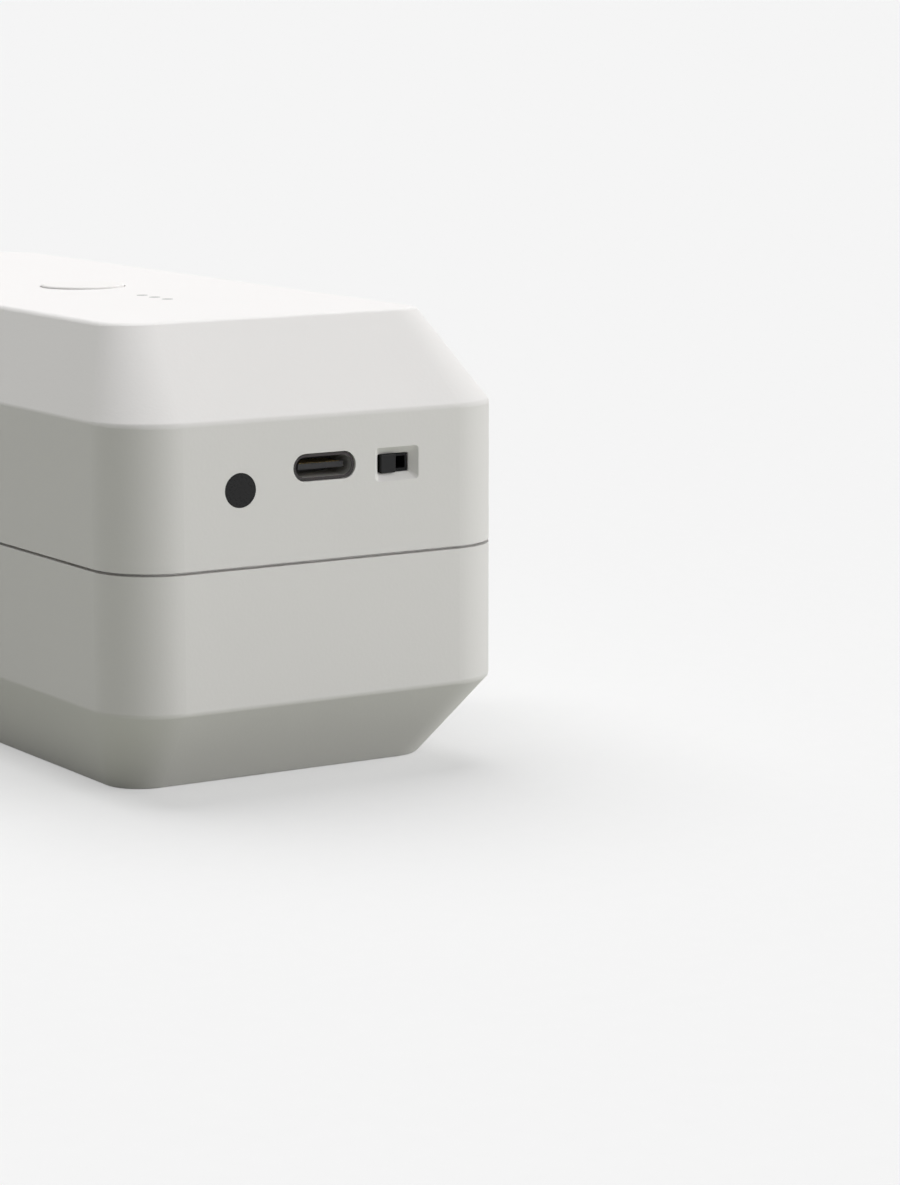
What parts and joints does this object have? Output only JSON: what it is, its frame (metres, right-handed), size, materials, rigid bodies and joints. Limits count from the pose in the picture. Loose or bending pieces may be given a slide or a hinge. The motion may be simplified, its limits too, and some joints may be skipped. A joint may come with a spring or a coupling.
{
  "type": "smart curtain motor",
  "caption": "Battery curtain motor: a bevelled two-shell box whose sprung, turning hangers grip a rail and press a geared rubber wheel to it.",
  "frame": {"origin": "centre of the flat back face that the motor lies on", "axes": "+X along the rail towards the end with the charging port, +Y towards the rail, +Z out of the face with the button"},
  "size_m": [0.146, 0.0766, 0.0609],
  "materials": {
    "shell_plastic": "finely textured moulded plastic, warm white",
    "button_plastic": "finely textured moulded plastic, warm white",
    "dark_window": "smooth near-black tinted plastic",
    "clear_guide": "smooth milky clear plastic",
    "port_steel": "nickel-plated folded sheet",
    "dark_plastic": "moulded black plastic",
    "knob_plastic": "moulded black plastic",
    "board_laminate": "green solder mask",
    "sensor_resin": "smooth resin",
    "led_resin": "smooth pale resin",
    "shield_steel": "tin-plated shield",
    "cable_film": "amber film",
    "cell_wrap": "shrink sleeve",
    "tray_plastic": "moulded plastic",
    "contact_nickel": "nickel strip",
    "lead_insulation": "soft sleeve",
    "screw_steel": "zinc-plated",
    "shaft_steel": "ground",
    "pinion_brass": "machined",
    "gear_plastic": "moulded acetal, ivory",
    "hub_plastic": "moulded glass-filled plastic",
    "tyre_rubber": "moulded, grooved",
    "bearing_steel": "ground",
    "frame_plastic": "moulded glass-filled plastic",
    "gearhead_steel": "turned",
    "motor_steel": "drawn can, zinc-plated",
    "bush_plastic": "moulded acetal, grey",
    "post_steel": "ground",
    "spring_steel": "drawn wire",
    "roller_plastic": "moulded acetal, pale"
  },
  "bodies": {
    "housing": {"upper_shell": "shell_plastic", "lower_shell": "shell_plastic", "case_screws": "screw_steel", "key_switch": "dark_plastic", "light_guide": "clear_guide", "sensor_window": "dark_window", "usb_receptacle": "port_steel", "usb_tongue": "dark_plastic", "switch_body": "dark_plastic", "port_board": "board_laminate", "light_sensor": "sensor_resin", "port_board_screws": "screw_steel", "main_board": "board_laminate", "board_screws": "screw_steel", "status_leds": "led_resin", "radio_module": "shield_steel", "flat_cable": "cable_film", "lower_cell": "cell_wrap", "upper_cell": "cell_wrap", "battery_tray": "tray_plastic", "battery_contacts": "contact_nickel", "battery_leads": "lead_insulation", "first_gear_pin": "shaft_steel", "second_gear_pin": "shaft_steel", "lower_bearing": "bearing_steel", "upper_bearing": "bearing_steel", "gearbox_base": "frame_plastic", "gearbox_cover": "frame_plastic", "wheel_bridge": "frame_plastic", "cover_screws": "screw_steel", "frame_screws": "screw_steel", "motor_gearhead": "gearhead_steel", "motor_can": "motor_steel", "port_guide_bush": "bush_plastic", "port_hanger_spring": "spring_steel", "far_guide_bush": "bush_plastic", "far_hanger_spring": "spring_steel"},
    "button": {"button_cap": "button_plastic", "key_plunger": "dark_plastic"},
    "power_switch": {"switch_knob": "knob_plastic"},
    "drive_wheel": {"drive_tyre": "tyre_rubber", "wheel_hub": "hub_plastic", "wheel_gear": "gear_plastic", "drive_axle": "shaft_steel"},
    "second_gears": {"second_gear": "gear_plastic"},
    "first_gears": {"first_gear": "gear_plastic"},
    "motor_output": {"motor_shaft": "shaft_steel", "motor_pinion": "pinion_brass"},
    "port_seat": {"port_spring_seat": "bush_plastic"},
    "port_hanger": {"port_hanger_post": "post_steel", "port_post_clip": "screw_steel"},
    "port_rollers": {"port_roller_axle": "shaft_steel", "port_rail_rollers": "roller_plastic"},
    "far_seat": {"far_spring_seat": "bush_plastic"},
    "far_hanger": {"far_hanger_post": "post_steel", "far_post_clip": "screw_steel"},
    "far_rollers": {"far_roller_axle": "shaft_steel", "far_rail_rollers": "roller_plastic"}
  },
  "joints": [
    {"name": "wheel_spin", "type": "hinge", "parent": "housing", "child": "drive_wheel", "pos_m": [0, 0.01605, 0.03], "axis": [0, 0, 1], "continuous": true},
    {"name": "second_gear_spin", "type": "hinge", "parent": "housing", "child": "second_gears", "pos_m": [0.01053, 0.00623, 0.015], "axis": [0, 0, 1], "continuous": true},
    {"name": "first_gear_spin", "type": "hinge", "parent": "housing", "child": "first_gears", "pos_m": [0.02439, -0.00177, 0.012], "axis": [0, 0, 1], "continuous": true},
    {"name": "motor_spin", "type": "hinge", "parent": "housing", "child": "motor_output", "pos_m": [0.04015, -0.00455, 0.012], "axis": [0, 0, 1], "continuous": true},
    {"name": "button_press", "type": "slide", "parent": "housing", "child": "button", "axis": [0, 0, -1], "range_m": [0, 0.0005], "stiffness_N_per_m": 1500, "springref_m": -0.0004},
    {"name": "switch_slide", "type": "slide", "parent": "housing", "child": "power_switch", "axis": [0, 1, 0], "range_m": [0, 0.002]},
    {"name": "port_hanger_lift", "type": "slide", "parent": "housing", "child": "port_seat", "axis": [0, 1, 0], "range_m": [0, 0.006], "stiffness_N_per_m": 800, "springref_m": -0.003, "deforming": ["port_hanger_spring"]},
    {"name": "port_hanger_turn", "type": "hinge", "parent": "port_seat", "child": "port_hanger", "pos_m": [0.035, 0.02905, 0.03], "axis": [0, 1, 0], "range_deg": [0, 90]},
    {"name": "port_roller_spin", "type": "hinge", "parent": "port_hanger", "child": "port_rollers", "pos_m": [0.035, 0.04305, 0.03], "axis": [0, 0, 1], "continuous": true},
    {"name": "far_hanger_lift", "type": "slide", "parent": "housing", "child": "far_seat", "axis": [0, 1, 0], "range_m": [0, 0.006], "stiffness_N_per_m": 800, "springref_m": -0.003, "deforming": ["far_hanger_spring"]},
    {"name": "far_hanger_turn", "type": "hinge", "parent": "far_seat", "child": "far_hanger", "pos_m": [-0.035, 0.02905, 0.03], "axis": [0, 1, 0], "range_deg": [0, 90]},
    {"name": "far_roller_spin", "type": "hinge", "parent": "far_hanger", "child": "far_rollers", "pos_m": [-0.035, 0.04305, 0.03], "axis": [0, 0, 1], "continuous": true}
  ],
  "couplings": [
    {"joint": "second_gear_spin", "follows": "wheel_spin", "ratio": -2},
    {"joint": "first_gear_spin", "follows": "wheel_spin", "ratio": 4.6667},
    {"joint": "motor_spin", "follows": "wheel_spin", "ratio": -10.889}
  ]
}
